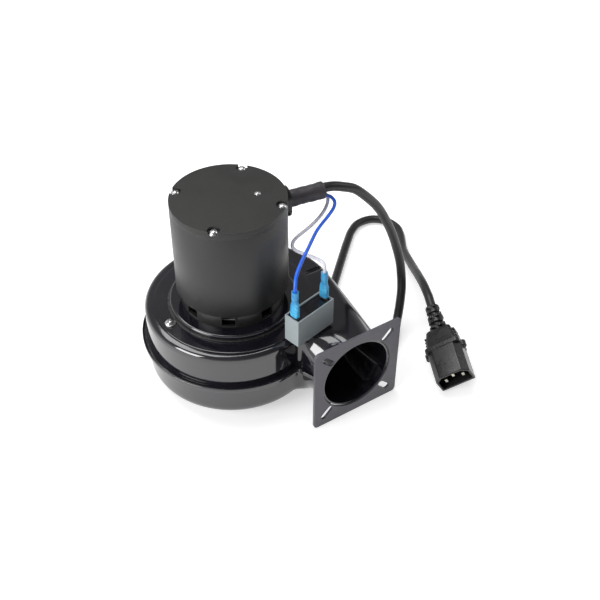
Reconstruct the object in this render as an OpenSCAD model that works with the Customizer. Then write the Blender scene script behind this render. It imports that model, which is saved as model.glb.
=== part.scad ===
// Centrifugal draught blower: a pressed steel scroll with a round outlet and a
// square outlet flange, a caged wheel on the shaft of a capacitor motor, and a
// lead that ends in an inlet plug. The origin is on the wheel's axis where the
// blower stands, +Z is up along the motor and the outlet faces -Y.

/* [Outlet] */
// Outside diameter of the outlet neck
neck_d = 59.4; // [56:0.1:66]
// Distance from the wheel's axis to the neck's centreline
neck_x = 50; // [48:0.5:54]
// Distance from the wheel's axis to the flange's front face
neck_reach = 94; // [90:1:120]
// Width and height of the square flange
flange_w = 76; // [72:1:96]
// Thickness of the flange
flange_t = 2; // [1.5:0.1:4]
// Side of the square that the centres of the four flange slots lie on
slot_pitch = 53; // [48:0.5:56]
// Length of a flange slot, end to end
slot_l = 13; // [8:0.5:14]
// Width of a flange slot
slot_w = 5; // [4:0.1:6]

/* [Scroll] */
// Radius of the scroll's first quarter turn
scroll_r = 65.8; // [63:0.1:74]
// Growth of the scroll's radius at each quarter turn
growth = 4.9; // [3:0.1:6]
// Thickness of the pressed sheet
sheet = 1.2; // [0.8:0.1:1.5]
// Height of the seam between the two pressings
seam_z = 38; // [34:0.5:42]
// How far the rolled seam stands out from the walls
seam_out = 4.2; // [3:0.1:6]
// Radius of the round inlet
inlet_r = 33; // [26:0.5:36]

/* [Wheel] */
// Outside radius of the wheel
wheel_r = 48; // [40:0.5:49]
// Height of the wheel's blades
blade_h = 40; // [30:1:44]
// Number of blades
blades = 30; // [18:1:36]
// Radius of the motor shaft
shaft_r = 4; // [3:0.5:4]

/* [Motor] */
// Outside diameter of the motor's can
can_d = 84; // [80:1:100]
// Height of the can, with its cap
can_h = 76; // [74:1:96]
// Height of the cap's rim
cap_h = 5.5; // [5:0.1:7]
// Height of the open spacer below the can
spacer_h = 12.7; // [12:0.1:16]
// Direction in which the lead leaves the can, round the axis
gland_turn = -8.6; // [-20:0.1:0]

/* [Capacitor] */
// Length of the capacitor's case
cap_l = 37; // [34:0.5:40]
// Width of the capacitor's case
cap_w = 13.5; // [12:0.5:15]
// Height of the capacitor's case
cap_t = 23.4; // [20:0.1:26]

/* [Lead] */
// Diameter of the lead
lead_d = 7.4; // [6.5:0.1:7.6]
// Diameter of the two capacitor wires
wire_d = 2.6; // [2:0.1:2.8]

/* [Hidden] */
$fn = 64;
eps = 0.01;

// Heights, from the floor up
neck_r = neck_d / 2;
flange_z = flange_w / 2;
scroll_z = flange_z - neck_r;
scroll_top = flange_z + neck_r;
plate_top = scroll_top + 1.2;
gasket_top = plate_top + 0.8;
seat_top = gasket_top + 3.3;
can_z = seat_top + spacer_h;
can_top = can_z + can_h;
cap_z = can_top - cap_h;
can_r = can_d / 2;
can_in = can_r - 1.2;

// The scroll's three growing quarter turns, each with its own centre
arc_a = [neck_x + neck_r - scroll_r - 3 * growth, 0.8];
arc_b = arc_a + [growth, 0];
arc_c = arc_b - [0, growth];
quarters = [[arc_a, scroll_r, 180], [arc_b, scroll_r + growth, 90],
    [arc_c, scroll_r + 2 * growth, 0], [arc_a, scroll_r, 270]];
top_round = 4;
low_round = 9;
neck_y = -50;            // where the scroll's section starts to turn round
tube_y = -85;            // where it has become a tube
tube_end = flange_t - neck_reach - 0.6;

// The plate over the scroll's top opening, and its screws
opening_r = wheel_r + 2;
plate_r = opening_r + 10.5;
screw_r = opening_r + 4;
screw_turns = [180, 60, -60];
shank_r = 1.9;

// The wheel hangs below the plate
wheel_top = scroll_top - 9.5;
blade_z = wheel_top - 1.2 - blade_h;
hub_z = wheel_top - 1.2 - 12;

// Inside the motor
shield_z = can_z + 1.3;
low_race_z = shield_z + 2;
race_h = 7;
race_r = 11;
stack_z = can_z + 18;
stack_h = can_h - 44;
gap_r = 24.3;
rotor_r = 23.9;
high_race_z = stack_z + stack_h + 5;
high_shield_z = high_race_z + race_h;
bolt_pitch = 0.926 * can_r / sqrt(2);
bolt_r = 1.7;

// The gland and the lead's way out
gland_z = can_top - 15;
sleeve_r = 6.7;
sleeve_in = 5.6;
sleeve_end = can_r + 32;
core_end = can_r + 18;

// The capacitor stands on a strap under one of the plate's screws
cap_at = [27.3, -63.2];
cap_turn = 12.4;
strap_t = 1;
cap_foot = plate_top + strap_t;
filling_top = cap_foot + cap_t - 1.2;
tab_u = cap_l / 2 - 3.5;
terminal_z = filling_top + 1.4;
terminal_h = 23;

// The plug at the end of the lead: its tail, where it points and how it's rolled
plug_tail = [151, -59, 29];
plug_turn = -113.5;
plug_dip = 10.5;
plug_roll = 30;
relief_l = 25;
body_l = 20;
shroud_l = 26;
plug_w = 28;
plug_t = 20;

// A point on the plug's axis, that far behind its tail
function behind_plug(back) = plug_tail - back * [cos(plug_turn) * cos(plug_dip),
    sin(plug_turn) * cos(plug_dip), -sin(plug_dip)];

// The lead's route, from inside the sleeve down to the floor, round in a loop
// behind the neck and over to the plug's tail
lead_way = [[59.5, -9, 148.5], [67, -10.1, 148.5], [75, -11.3, 148.5], [82, -12.4, 147.5],
    [90, -13.5, 144.5], [101, -14.2, 138.5], [114.5, -14.5, 124.5], [124.5, -14.5, 111.5],
    [133, -14.2, 96], [140, -14, 81], [145.5, -14.5, 65], [148.5, -17, 50.5],
    [148, -21, 38.5], [144.5, -27, 28.5], [138, -34, 19.5], [130.5, -41, 11.5],
    [122, -49, 6], [111, -56.5, 3.7], [98, -61.5, 3.7], [84, -60, 3.7], [71.5, -51.5, 3.7],
    [65, -37.5, 3.7], [66, -22.5, 3.7], [73.5, -11, 3.7], [98, 13, 3.7], [150, 63, 3.7],
    [165, 77, 3.7], [175.5, 86.1, 3.7], [188, 92.6, 3.7], [202, 91.5, 3.7], [211.7, 82.5, 3.7],
    [214.5, 68.8, 4], [209.5, 55.5, 5.2], [195, 33, 9], [180.5, 4, 18], [169.5, -18.5, 26],
    [162.5, -33, 30.2], each [for (back = [13, 6, 0.1]) behind_plug(back)]];
blue_way = [[59.2, -10.5, 143.1], [66.5, -11.6, 143.1], [73.5, -12.8, 142.8],
    [78.5, -14.3, 140.3], [80, -17, 136.8], [76.5, -20.5, 134.6], [68, -26, 134.3],
    [51.5, -36, 134.5], [36.5, -47, 132], [24, -56, 129], [16.5, -62, 125.5],
    [13.2, -65.8, 120.5], [12.65, -66.4, 116], [12.65, -66.4, 107.5]];
white_way = [[59.6, -7.5, 143.1], [67, -8.6, 143.1], [74.8, -9.8, 142.8], [77.5, -11.5, 138.5],
    [75, -13.8, 133.5], [67.5, -17.5, 130], [55, -22.5, 128.3], [39.5, -28.5, 128.8],
    [33, -32, 127.5], [32, -36, 125.5], [36.5, -43.5, 123.8], [41.5, -50.5, 122.5],
    [43.5, -56, 121.5], [42.3, -59.5, 119], [41.95, -60, 115.5], [41.95, -60, 107.5]];

// A smooth curve through a route's points
function bend(a, b, c, d, t) = 0.5 * (2 * b + (c - a) * t + (2 * a - 5 * b + 4 * c - d) * t * t
    + (3 * b - a - 3 * c + d) * t * t * t);
function smooth(way, steps) = let (n = len(way) - 1) concat(
    [for (i = [0 : n - 1], k = [0 : steps - 1])
        bend(way[max(i - 1, 0)], way[i], way[i + 1], way[min(i + 2, n)], k / steps)], [way[n]]);
function unit(v) = v / norm(v);
function along(line, i) = unit(line[min(i + 1, len(line) - 1)] - line[max(i - 1, 0)]);
function across(v, t) = unit(v - (v * t) * t);
function sides(line, i = 0, v = [0.1, 1, 0.2]) = i == len(line) ? []
    : let (s = across(v, along(line, i))) concat([s], sides(line, i + 1, s));

// A round cord along a route, in flat-sided rings
module cord(way, d, ring, steps) {
    line = smooth(way, steps);
    side = sides(line);
    n = len(line);
    points = [for (i = [0 : n - 1], k = [0 : ring - 1])
        let (t = along(line, i), a = 360 * k / ring)
        line[i] + d / 2 * (cos(a) * side[i] + sin(a) * cross(t, side[i]))];
    walls = [for (i = [0 : n - 2], k = [0 : ring - 1])
        let (a = i * ring + k, b = i * ring + (k + 1) % ring)
        each [[a, a + ring, b], [b, a + ring, b + ring]]];
    ends = [[for (k = [0 : ring - 1]) k], [for (k = [ring - 1 : -1 : 0]) (n - 1) * ring + k]];
    polyhedron(points, concat(walls, ends));
}

// Half of the scroll's upright section, from its arc's centre out to radius r
module half_section(r, z0, z1, low, top) {
    deep = max(low, top);
    translate([0, z0]) square([r - deep, z1 - z0]);
    translate([0, z0 + low]) square([r, z1 - z0 - low - top]);
    if (low > 0) translate([r - low, z0 + low]) circle(low);
    if (top > 0) {
        translate([r - top, z1 - top]) circle(top);
        translate([r - deep, z1 - top - 1]) square([deep - top, top + 1]);
    }
}

// The same section right across a straight duct
module duct_section(grow, low, top) {
    for (side = [-1, 1]) translate([neck_x, 0]) scale([side, 1])
        half_section(neck_r + grow, scroll_z - grow, scroll_top + grow, low, top);
}

// The space inside a wall that is moved out by grow: scroll, duct and neck
module casing(grow) {
    for (q = quarters) translate(q[0]) rotate(q[2]) rotate_extrude(angle = 90)
        half_section(q[1] + grow, scroll_z - grow, scroll_top + grow,
            low_round + grow, top_round + grow);
    translate([0, arc_c.y, 0]) rotate([90, 0, 0]) linear_extrude(arc_c.y - neck_y + 1)
        duct_section(grow, low_round + grow, top_round + grow);
    hull() {
        translate([0, neck_y, 0]) rotate([90, 0, 0]) linear_extrude(1)
            duct_section(grow, low_round + grow, top_round + grow, $fn = 32);
        neck_tube(neck_r + grow, tube_y + 1, tube_y, $fn = 48);
    }
    neck_tube(neck_r + grow, tube_y + 0.5, grow < 0 ? tube_end - 1 : tube_end);
}

module neck_tube(r, y0, y1) {
    translate([neck_x, y0, flange_z]) rotate([90, 0, 0]) cylinder(y0 - y1, r = r);
}

// A flat rim round the scroll and the neck, like the casing seen from above
module rim(grow, z0, z1) {
    for (q = quarters) translate(q[0]) rotate(q[2]) rotate_extrude(angle = 90)
        translate([0, z0]) square([q[1] + grow, z1 - z0]);
    translate([neck_x - neck_r - grow, tube_y + 4, z0])
        cube([2 * (neck_r + grow), arc_c.y - tube_y - 4, z1 - z0]);
}

module at_screws(which = [0 : 2]) {
    for (i = which) rotate(screw_turns[i]) translate([screw_r, 0, 0]) children();
}

module upper_shell() {
    color("#1c1b1f") difference() {
        union() {
            intersection() {
                casing(0);
                translate([-150, -150, seam_z]) cube([300, 300, 100]);
            }
            rim(seam_out - 1.2, seam_z, seam_z + 1.4);
        }
        casing(-sheet);
        translate([0, 0, scroll_top - 10]) cylinder(20, r = opening_r);
        at_screws() translate([0, 0, scroll_top - 5]) cylinder(10, r = shank_r);
    }
}

module lower_shell() {
    color("#1c1b1f") difference() {
        union() {
            intersection() {
                casing(0);
                translate([-150, -150, seam_z - 100]) cube([300, 300, 100]);
            }
            rim(seam_out, seam_z - 1.4, seam_z);
            difference() {
                rim(seam_out, seam_z - eps, seam_z + 2);
                rim(seam_out - 1.2, seam_z - 1, seam_z + 3);
            }
        }
        casing(-sheet);
        translate([0, 0, scroll_z - 5]) cylinder(10, r = inlet_r);
    }
}

module inlet_collar() {
    flange_r = inlet_r + 9;
    color("#232226") rotate_extrude() {
        translate([inlet_r, 0]) square([3, scroll_z]);
        translate([inlet_r, scroll_z - 1.2]) square([flange_r - inlet_r, 1.2]);
    }
}

// Four bolt slots that point at the outlet's centre
module flange_slots() {
    for (x = [-1, 1], y = [-1, 1]) translate([x * slot_pitch / 2, y * slot_pitch / 2])
        rotate(atan2(y, x)) {
            square([slot_l - slot_w, slot_w], center = true);
            for (end = [-1, 1]) translate([end * (slot_l - slot_w) / 2, 0]) circle(d = slot_w);
        }
}

module outlet_flange() {
    corner = 3.5;
    inner = flange_w / 2 - corner;
    color("#6b6870") translate([neck_x, flange_t - neck_reach, flange_z]) rotate([90, 0, 0])
        linear_extrude(flange_t) difference() {
            union() {
                square([flange_w, 2 * inner], center = true);
                square([2 * inner, flange_w], center = true);
                for (x = [-1, 1], y = [-1, 1]) translate([x, y] * inner) circle(corner);
            }
            circle(neck_r + 0.7);
            flange_slots();
        }
}

// Runs of weld between the tube and the back of the flange
module flange_welds() {
    back = flange_t - neck_reach;
    color("#2a2a2c") translate([neck_x, back, flange_z]) rotate([90, 0, 0])
        for (turn = [20 : 60 : 320]) rotate(turn) rotate_extrude(angle = 24) difference() {
            translate([neck_r, 0]) circle(2.2, $fn = 32);
            translate([0, -5]) square([neck_r, 10]);
            square([neck_r + 5, 5]);
        }
}

module motor_plate() {
    color("#1c1b1f") difference() {
        translate([0, 0, scroll_top]) cylinder(plate_top - scroll_top, r = plate_r);
        translate([0, 0, scroll_top - 1]) cylinder(4, r = shaft_r + 2.5);
        at_screws() translate([0, 0, scroll_top - 5]) cylinder(10, r = shank_r + 0.2);
    }
}

// A flat ring between two heights
module ring(inside, outside, z0, z1) {
    translate([0, 0, z0]) rotate_extrude() translate([inside, 0])
        square([outside - inside, z1 - z0]);
}

module seat_gasket() {
    color("#3a3836") ring(shaft_r + 2.5, opening_r - 0.2, plate_top, gasket_top);
}

// A pressed dish with a rounded edge, open underneath
module motor_seat() {
    edge = 1.6;
    r = opening_r - 2;
    color("#1c1b1f") difference() {
        rotate_extrude() {
            translate([0, gasket_top]) square([r - edge, seat_top - gasket_top]);
            translate([0, gasket_top]) square([r, seat_top - gasket_top - edge]);
            translate([r - edge, seat_top - edge]) circle(edge);
        }
        translate([0, 0, gasket_top - 1]) cylinder(seat_top - gasket_top - 0.5, r = r - 1.5);
        translate([0, 0, gasket_top - 1]) cylinder(10, r = shaft_r + 2.5);
    }
}

// An open ring on which the motor stands clear of the hot scroll
module motor_spacer() {
    foot = 1.6;
    r = can_r - 3;
    color("#202023") difference() {
        ring(r - 2.5, r, seat_top, can_z);
        for (turn = [0 : 45 : 315]) rotate(turn + 10)
            translate([r - 6, -5, seat_top + foot]) cube([12, 10, spacer_h - 2 * foot]);
    }
}

// A pan-head screw with a cross recess: its head stands on z = 0
module pan_screw(head_r, head_h, shank, depth) {
    ball = (head_r * head_r + head_h * head_h) / (2 * head_h);
    color("#c9c9cc") difference() {
        union() {
            intersection() {
                translate([0, 0, head_h - ball]) sphere(ball);
                cylinder(head_h, r = head_r);
            }
            translate([0, 0, -depth]) cylinder(depth + eps, r = shank);
        }
        for (turn = [0, 90]) rotate(turn + 20)
            translate([-head_r / 2, -0.4, head_h - 1]) cube([head_r, 0.8, 5]);
    }
}

function washer_foot(i) = plate_top + (i == 2 ? strap_t : 0);

module plate_screw(i) {
    at_screws([i : i]) translate([0, 0, washer_foot(i) + 0.8])
        pan_screw(3.7, 2.5, shank_r, 9);
}

module plate_washer(i) {
    color("#b9babd") at_screws([i : i]) ring(shank_r + 0.1, 4, washer_foot(i), washer_foot(i) + 0.8);
}

module at_bolts(which = [0 : 3]) {
    for (i = which) translate(bolt_pitch * [[1, 1], [-1, 1], [-1, -1], [1, -1]][i]) children();
}

module motor_can() {
    color("#232325") difference() {
        translate([0, 0, can_z]) cylinder(cap_z - can_z, r = can_r);
        translate([0, 0, shield_z]) cylinder(can_h, r = can_in);
        translate([0, 0, can_z - 1]) cylinder(10, r = can_r - 4);
        rotate(gland_turn) translate([can_r / 2, 0, gland_z]) rotate([0, 90, 0])
            cylinder(can_r, r = sleeve_r);
    }
}

// The lid, with a notch in its edge over each long screw
module motor_cap() {
    lid = 3.4;
    color("#3c3c3e") difference() {
        translate([0, 0, cap_z]) cylinder(cap_h, r = can_r);
        translate([0, 0, cap_z - 1]) cylinder(cap_h - lid + 1, r = can_in);
        at_bolts() {
            translate([0, 0, can_top - 2.2]) cylinder(5, r = 4.5);
            translate([0, 0, cap_z - 1]) cylinder(10, r = bolt_r + 0.1);
        }
        translate([20, -7, can_top - 2.5]) cylinder(5, r = 1.5);
    }
}

module earth_screw() {
    translate([20, -7, can_top]) pan_screw(2.3, 1.2, 1.5, 2.4);
}

module through_screw(i) {
    at_bolts([i : i]) translate([0, 0, can_top - 2.2])
        pan_screw(3.5, 2.3, bolt_r, can_top - 2.2 - shield_z - 0.5);
}

// A blank paper label on the can's side
module can_label() {
    color("#d8d8d4") rotate(-35) translate([0, 0, can_z + 7]) rotate_extrude(angle = 75)
        translate([can_r, 0]) square([0.2, 31]);
}

module lower_shield() {
    hub = race_r + 4;
    color("#9a9b9d") difference() {
        union() {
            translate([0, 0, shield_z]) cylinder(3, r = can_in);
            translate([0, 0, shield_z]) cylinder(low_race_z + race_h - shield_z, r = hub);
        }
        translate([0, 0, shield_z - 1]) cylinder(10, r = race_r - 3);
        translate([0, 0, low_race_z]) cylinder(20, r = race_r);
        at_bolts() translate([0, 0, shield_z + 0.4]) cylinder(10, r = bolt_r);
    }
}

module upper_shield() {
    hub = race_r + 4;
    color("#9a9b9d") difference() {
        union() {
            translate([0, 0, high_shield_z]) cylinder(3, r = can_in);
            translate([0, 0, high_race_z]) cylinder(race_h + 3, r = hub);
        }
        translate([0, 0, high_race_z - 1]) cylinder(race_h + 1, r = race_r);
        at_bolts() translate([0, 0, high_shield_z - 1]) cylinder(10, r = bolt_r + 0.1);
    }
}

module stator_core() {
    color("#7d7f83") difference() {
        ring(gap_r, can_in, stack_z, stack_z + stack_h);
        for (turn = [0 : 15 : 345]) rotate(turn) translate([gap_r - 1, -1.2, stack_z - 1])
            cube([8, 2.4, stack_h + 2]);
        at_bolts() translate([0, 0, stack_z - 1]) cylinder(stack_h + 2, r = bolt_r + 0.3);
    }
}

// A coil end: a thick ring with rounded corners
module winding(z0, z1) {
    inside = gap_r + 2.5;
    outside = can_in - 5;
    soft = 3;
    color("#a8552a") rotate_extrude() {
        translate([inside + soft, z0]) square([outside - inside - 2 * soft, z1 - z0]);
        translate([inside, z0 + soft]) square([outside - inside, z1 - z0 - 2 * soft]);
        for (x = [inside + soft, outside - soft], z = [z0 + soft, z1 - soft])
            translate([x, z]) circle(soft);
    }
}

// A ball race's ring, with the balls' groove in it
module race(inside, outside, z) {
    color("#c3c5c8") difference() {
        ring(inside, outside, z, z + race_h);
        translate([0, 0, z + race_h / 2]) rotate_extrude() translate([7.5, 0])
            circle(2.3, $fn = 32);
    }
}

// The balls and the cage that carries them round
module ball_cage(z) {
    color("#b08d3c") translate([0, 0, z + race_h / 2]) {
        ring(7.1, 7.9, -1.2, 1.2);
        for (turn = [0 : 51.429 : 320]) rotate(turn) translate([7.5, 0, 0])
            sphere(1.95, $fn = 32);
    }
}

module shaft() {
    step = shaft_r + 1;
    color("#b4b6b9") rotate_extrude() {
        translate([0, hub_z - 7]) square([shaft_r, high_shield_z - 0.5 - hub_z + 7]);
        translate([0, low_race_z + race_h]) square([step, high_race_z - low_race_z - race_h]);
    }
}

module rotor_core() {
    color("#85878b") ring(shaft_r + 1, rotor_r, stack_z, stack_z + stack_h);
}

// The cast bars' end rings
module rotor_rings() {
    color("#c7cacd") {
        ring(14, 22, stack_z - 3, stack_z);
        ring(14, 22, stack_z + stack_h, stack_z + stack_h + 3);
    }
}

// A finned disc that throws heat off the shaft, inside the spacer
module cooling_disc() {
    z = seat_top + 2.4;
    color("#b9bcc0") {
        ring(shaft_r, can_r - 9, z, z + 1);
        ring(shaft_r, 8, z, z + 7.5);
        for (turn = [0 : 36 : 324]) rotate(turn) translate([7.5, -0.5, z]) cube([can_r - 17, 1, 6]);
    }
}

// A forward-curved blade: part of a thin round wall whose tip leads the turning
module blade() {
    inside = wheel_r - 9;
    bow = 9.5;
    translate([0, 0, blade_z]) linear_extrude(blade_h) intersection() {
        translate([inside, -bow]) difference() {
            circle(bow);
            circle(bow - 0.8);
        }
        difference() {
            circle(wheel_r - 0.3);
            circle(inside);
        }
        translate([inside - 1, -6.5]) square([20, 8]);
    }
}

module wheel_disc() {
    color("#a7aaae") ring(shaft_r, wheel_r, wheel_top - 1.2, wheel_top);
}

module wheel_blades() {
    color("#a7aaae") for (i = [0 : blades - 1]) rotate(360 * i / blades) blade();
}

module wheel_ring() {
    color("#a7aaae") ring(wheel_r - 9.5, wheel_r, blade_z - 1.2, blade_z);
}

module wheel_hub() {
    color("#c2a55a") difference() {
        union() {
            ring(shaft_r, 14, wheel_top - 4.2, wheel_top - 1.2);
            ring(shaft_r, 9, hub_z, wheel_top - 1.2);
        }
        translate([0, 0, hub_z + 4]) rotate([0, 90, 0]) cylinder(20, r = 1.6);
    }
}

module wheel_nut() {
    color("#c9c9cc") difference() {
        union() {
            translate([0, 0, hub_z - 5]) cylinder(4, r = 7.5, $fn = 6);
            translate([0, 0, hub_z - 1]) cylinder(1, r = 8.5);
        }
        translate([0, 0, hub_z - 6]) cylinder(8, r = shaft_r);
    }
}

// Moves its children to the lead's way out: x runs out along the sleeve
module at_gland() {
    rotate(gland_turn) translate([0, 0, gland_z]) children();
}

module gland_plate() {
    tall = 24;
    wide = 17;
    color("#242426") difference() {
        at_gland() translate([can_r - 4, 0, -1.2]) rotate([0, 90, 0]) linear_extrude(7.6) {
            square([tall - wide, wide], center = true);
            for (end = [-1, 1]) translate([end * (tall - wide) / 2, 0]) circle(d = wide);
        }
        cylinder(300, r = can_r);
        at_gland() rotate([0, 90, 0]) cylinder(100, r = sleeve_r);
    }
}

// Shrunk over the lead and the two wires where they leave the motor
module cable_sleeve() {
    start = can_r - 1;
    color("#2c2c2e") at_gland() rotate([0, 90, 0]) difference() {
        union() {
            translate([0, 0, start]) cylinder(9, r = sleeve_r);
            translate([0, 0, start + 9]) cylinder(sleeve_end - start - 9, r1 = sleeve_r,
                r2 = sleeve_r - 0.4);
        }
        translate([0, 0, start - 1]) cylinder(100, r = sleeve_in);
    }
}

module sleeve_core() {
    color("#303032") at_gland() rotate([0, 90, 0]) translate([0, 0, can_r - 1])
        cylinder(core_end - can_r + 1, r = sleeve_in);
}

// Moves its children onto the capacitor: x along its case, z up from its foot
module at_capacitor() {
    translate([cap_at.x, cap_at.y, cap_foot]) rotate(cap_turn) children();
}

module capacitor_case() {
    wall = 1.2;
    color("#8b9797") at_capacitor() difference() {
        translate([-cap_l / 2, -cap_w / 2, 0]) cube([cap_l, cap_w, cap_t]);
        translate([wall - cap_l / 2, wall - cap_w / 2, wall])
            cube([cap_l - 2 * wall, cap_w - 2 * wall, cap_t]);
    }
}

module capacitor_filling() {
    wall = 1.2;
    color("#18181a") at_capacitor() translate([wall - cap_l / 2, wall - cap_w / 2, wall])
        cube([cap_l - 2 * wall, cap_w - 2 * wall, filling_top - cap_foot - wall]);
}

// A strap from the screw to the case's foot, with a tongue up behind the case
module capacitor_bracket() {
    wide = 8;
    eye = screw_r * [cos(screw_turns[2]), sin(screw_turns[2])];
    color("#b9babd") difference() {
        union() {
            translate([eye.x, eye.y, plate_top]) cylinder(strap_t, r = wide / 2);
            translate([eye.x - wide / 2, cap_at.y - 4, plate_top])
                cube([wide, eye.y - cap_at.y + 4, strap_t]);
            at_capacitor() translate([-wide / 2, cap_w / 2, -eps]) cube([wide, 1, 12]);
        }
        translate([eye.x, eye.y, plate_top - 1]) cylinder(5, r = shank_r + 0.1);
    }
}

module tab(side) {
    color("#c8b46a") at_capacitor() translate([side * tab_u - 0.4, -3.15, filling_top - cap_foot])
        cube([0.8, 6.3, 9]);
}

// An insulated push-on terminal: a flat boot with a barrel on top
module terminal(side) {
    boot_h = 13;
    wide = 7.4;
    thick = 4.2;
    color("#3ba3e0") at_capacitor() translate([side * tab_u, 0, terminal_z - cap_foot]) difference() {
        union() {
            linear_extrude(boot_h) {
                square([thick, wide - thick], center = true);
                for (end = [-1, 1]) translate([0, end * (wide - thick) / 2]) circle(d = thick);
            }
            translate([0, 0, boot_h]) cylinder(2, r1 = thick / 2, r2 = 2.7);
            translate([0, 0, boot_h + 2]) cylinder(terminal_h - boot_h - 2, r = 2.7);
        }
        translate([-0.4, -3.15, -1]) cube([0.8, 6.3, 9]);
        translate([0, 0, boot_h + 0.8]) cylinder(20, r = wire_d / 2 + 0.05);
    }
}

// Moves its children to the plug: x runs from its tail to its open end
module at_plug() {
    translate(plug_tail) rotate([0, 0, plug_turn]) rotate([0, plug_dip, 0])
        rotate([plug_roll, 0, 0]) children();
}

// A flexible tail of stepped rings
module plug_relief() {
    ribs = 4;
    pitch = relief_l / ribs;
    color("#222224") at_plug() rotate([0, 90, 0]) {
        cylinder(relief_l, r1 = 4.2, r2 = 5.2);
        for (i = [0 : ribs - 1]) translate([0, 0, i * pitch]) cylinder(pitch * 0.55, r = 5.8 + i * 0.4);
    }
}

// A plug's outline across its length, with two cut corners on its upper side
module plug_outline(wide, thick, cut) {
    polygon([[-wide / 2, -thick / 2], [wide / 2, -thick / 2], [wide / 2, thick / 2 - cut],
        [wide / 2 - cut, thick / 2], [cut - wide / 2, thick / 2], [-wide / 2, thick / 2 - cut]]);
}

// Stands a plug outline up across the plug's length
module plug_slice(x, l, wide, thick, cut) {
    translate([x, 0, 0]) rotate([90, 0, 90]) linear_extrude(l) plug_outline(wide, thick, cut);
}

module plug_body() {
    collar_x = relief_l + body_l - 4;
    floor_x = relief_l + body_l + 6;
    color("#1f1f21") at_plug() difference() {
        union() {
            hull() {
                plug_slice(relief_l, 1, plug_w - 7, plug_t - 5, 1.5);
                plug_slice(collar_x, 1, plug_w - 2, plug_t - 1, 1.5);
            }
            for (side = [-1, 1], i = [0 : 3]) translate([relief_l + 5 + 3 * i, side * plug_w / 2.5, 0])
                cube([1.2, 3 + i / 2, plug_t - 8], center = true);
            plug_slice(collar_x, 4, plug_w + 1, plug_t + 1, 2);
            for (side = [-1, 1]) translate([collar_x, side * plug_w / 2, 0]) rotate([0, 90, 0])
                cylinder(5.5, r = 3.2);
            plug_slice(collar_x + 3, shroud_l + 1, plug_w, plug_t, 5);
        }
        plug_slice(floor_x, shroud_l, plug_w - 3.6, plug_t - 3.6, 4);
    }
}

// Three flat pins in the shroud
module plug_pins() {
    floor_x = relief_l + body_l + 6;
    color("#c9bd8a") at_plug() for (pin = [[-7, -2], [0, 2], [7, -2]])
        translate([floor_x, pin.x - 1, pin.y - 2]) cube([shroud_l - 9, 2, 4]);
}

upper_shell();
lower_shell();
inlet_collar();
outlet_flange();
flange_welds();
motor_plate();
seat_gasket();
motor_seat();
motor_spacer();
plate_screw(0);  // plate_screw_1
plate_screw(1);  // plate_screw_2
plate_screw(2);  // plate_screw_3
plate_washer(0);  // plate_washer_1
plate_washer(1);  // plate_washer_2
plate_washer(2);  // plate_washer_3
motor_can();
motor_cap();
earth_screw();
through_screw(0);  // through_screw_1
through_screw(1);  // through_screw_2
through_screw(2);  // through_screw_3
through_screw(3);  // through_screw_4
can_label();
lower_shield();
upper_shield();
stator_core();
winding(stack_z + stack_h, stack_z + stack_h + 10);  // upper_winding
winding(stack_z - 10, stack_z);  // lower_winding
race(9.1, race_r, high_race_z);  // upper_outer_race
race(9.1, race_r, low_race_z);  // lower_outer_race
ball_cage(high_race_z);  // upper_ball_cage
ball_cage(low_race_z);  // lower_ball_cage
race(shaft_r, 5.9, high_race_z);  // upper_inner_race
race(shaft_r, 5.9, low_race_z);  // lower_inner_race
shaft();
rotor_core();
rotor_rings();
cooling_disc();
wheel_disc();
wheel_blades();
wheel_ring();
wheel_hub();
wheel_nut();
gland_plate();
cable_sleeve();
sleeve_core();
capacitor_case();
capacitor_filling();
capacitor_bracket();
tab(-1);  // tab_left
tab(1);  // tab_right
terminal(-1);  // terminal_left
terminal(1);  // terminal_right
color("#2a5bdc") cord(blue_way, wire_d, 8, 3);  // wire_blue
color("#e6e6ea") cord(white_way, wire_d, 8, 3);  // wire_white
color("#222224") cord(lead_way, lead_d, 10, 2);  // lead
plug_relief();
plug_body();
plug_pins();
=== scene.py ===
"""Looks for a centrifugal draught blower: glossy pressed casing, capacitor motor, outlet flange,
capacitor with its two wires, and a lead that ends in an inlet plug."""

import math

import bmesh
import bpy
import numpy as np
from mathutils import Matrix, Vector


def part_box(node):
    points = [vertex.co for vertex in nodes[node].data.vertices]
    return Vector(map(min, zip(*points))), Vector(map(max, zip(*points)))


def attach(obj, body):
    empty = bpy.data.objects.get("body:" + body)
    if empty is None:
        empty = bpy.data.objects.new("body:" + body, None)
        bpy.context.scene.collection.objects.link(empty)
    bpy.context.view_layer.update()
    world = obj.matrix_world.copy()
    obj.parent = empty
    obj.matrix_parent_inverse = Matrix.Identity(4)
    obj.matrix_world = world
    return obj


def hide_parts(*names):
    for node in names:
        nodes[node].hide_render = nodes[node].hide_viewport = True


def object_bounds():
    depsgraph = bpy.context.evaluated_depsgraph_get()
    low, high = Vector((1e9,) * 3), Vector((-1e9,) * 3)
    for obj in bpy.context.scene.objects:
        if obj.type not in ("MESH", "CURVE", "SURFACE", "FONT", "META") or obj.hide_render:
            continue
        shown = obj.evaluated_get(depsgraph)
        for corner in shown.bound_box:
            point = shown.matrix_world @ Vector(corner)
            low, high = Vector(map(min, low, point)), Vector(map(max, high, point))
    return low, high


MM = 0.001
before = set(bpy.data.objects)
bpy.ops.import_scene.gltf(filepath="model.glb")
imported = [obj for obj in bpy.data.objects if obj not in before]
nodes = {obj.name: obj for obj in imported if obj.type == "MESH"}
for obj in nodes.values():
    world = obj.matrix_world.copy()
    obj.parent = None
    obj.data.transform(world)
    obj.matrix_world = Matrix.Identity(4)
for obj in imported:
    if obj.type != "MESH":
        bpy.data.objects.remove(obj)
scene = bpy.context.scene
cad_low, cad_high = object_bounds()


# ---------------------------------------------------------------- measures from the frame

def middle(node):
    low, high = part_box(node)
    return (low + high) / 2


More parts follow.
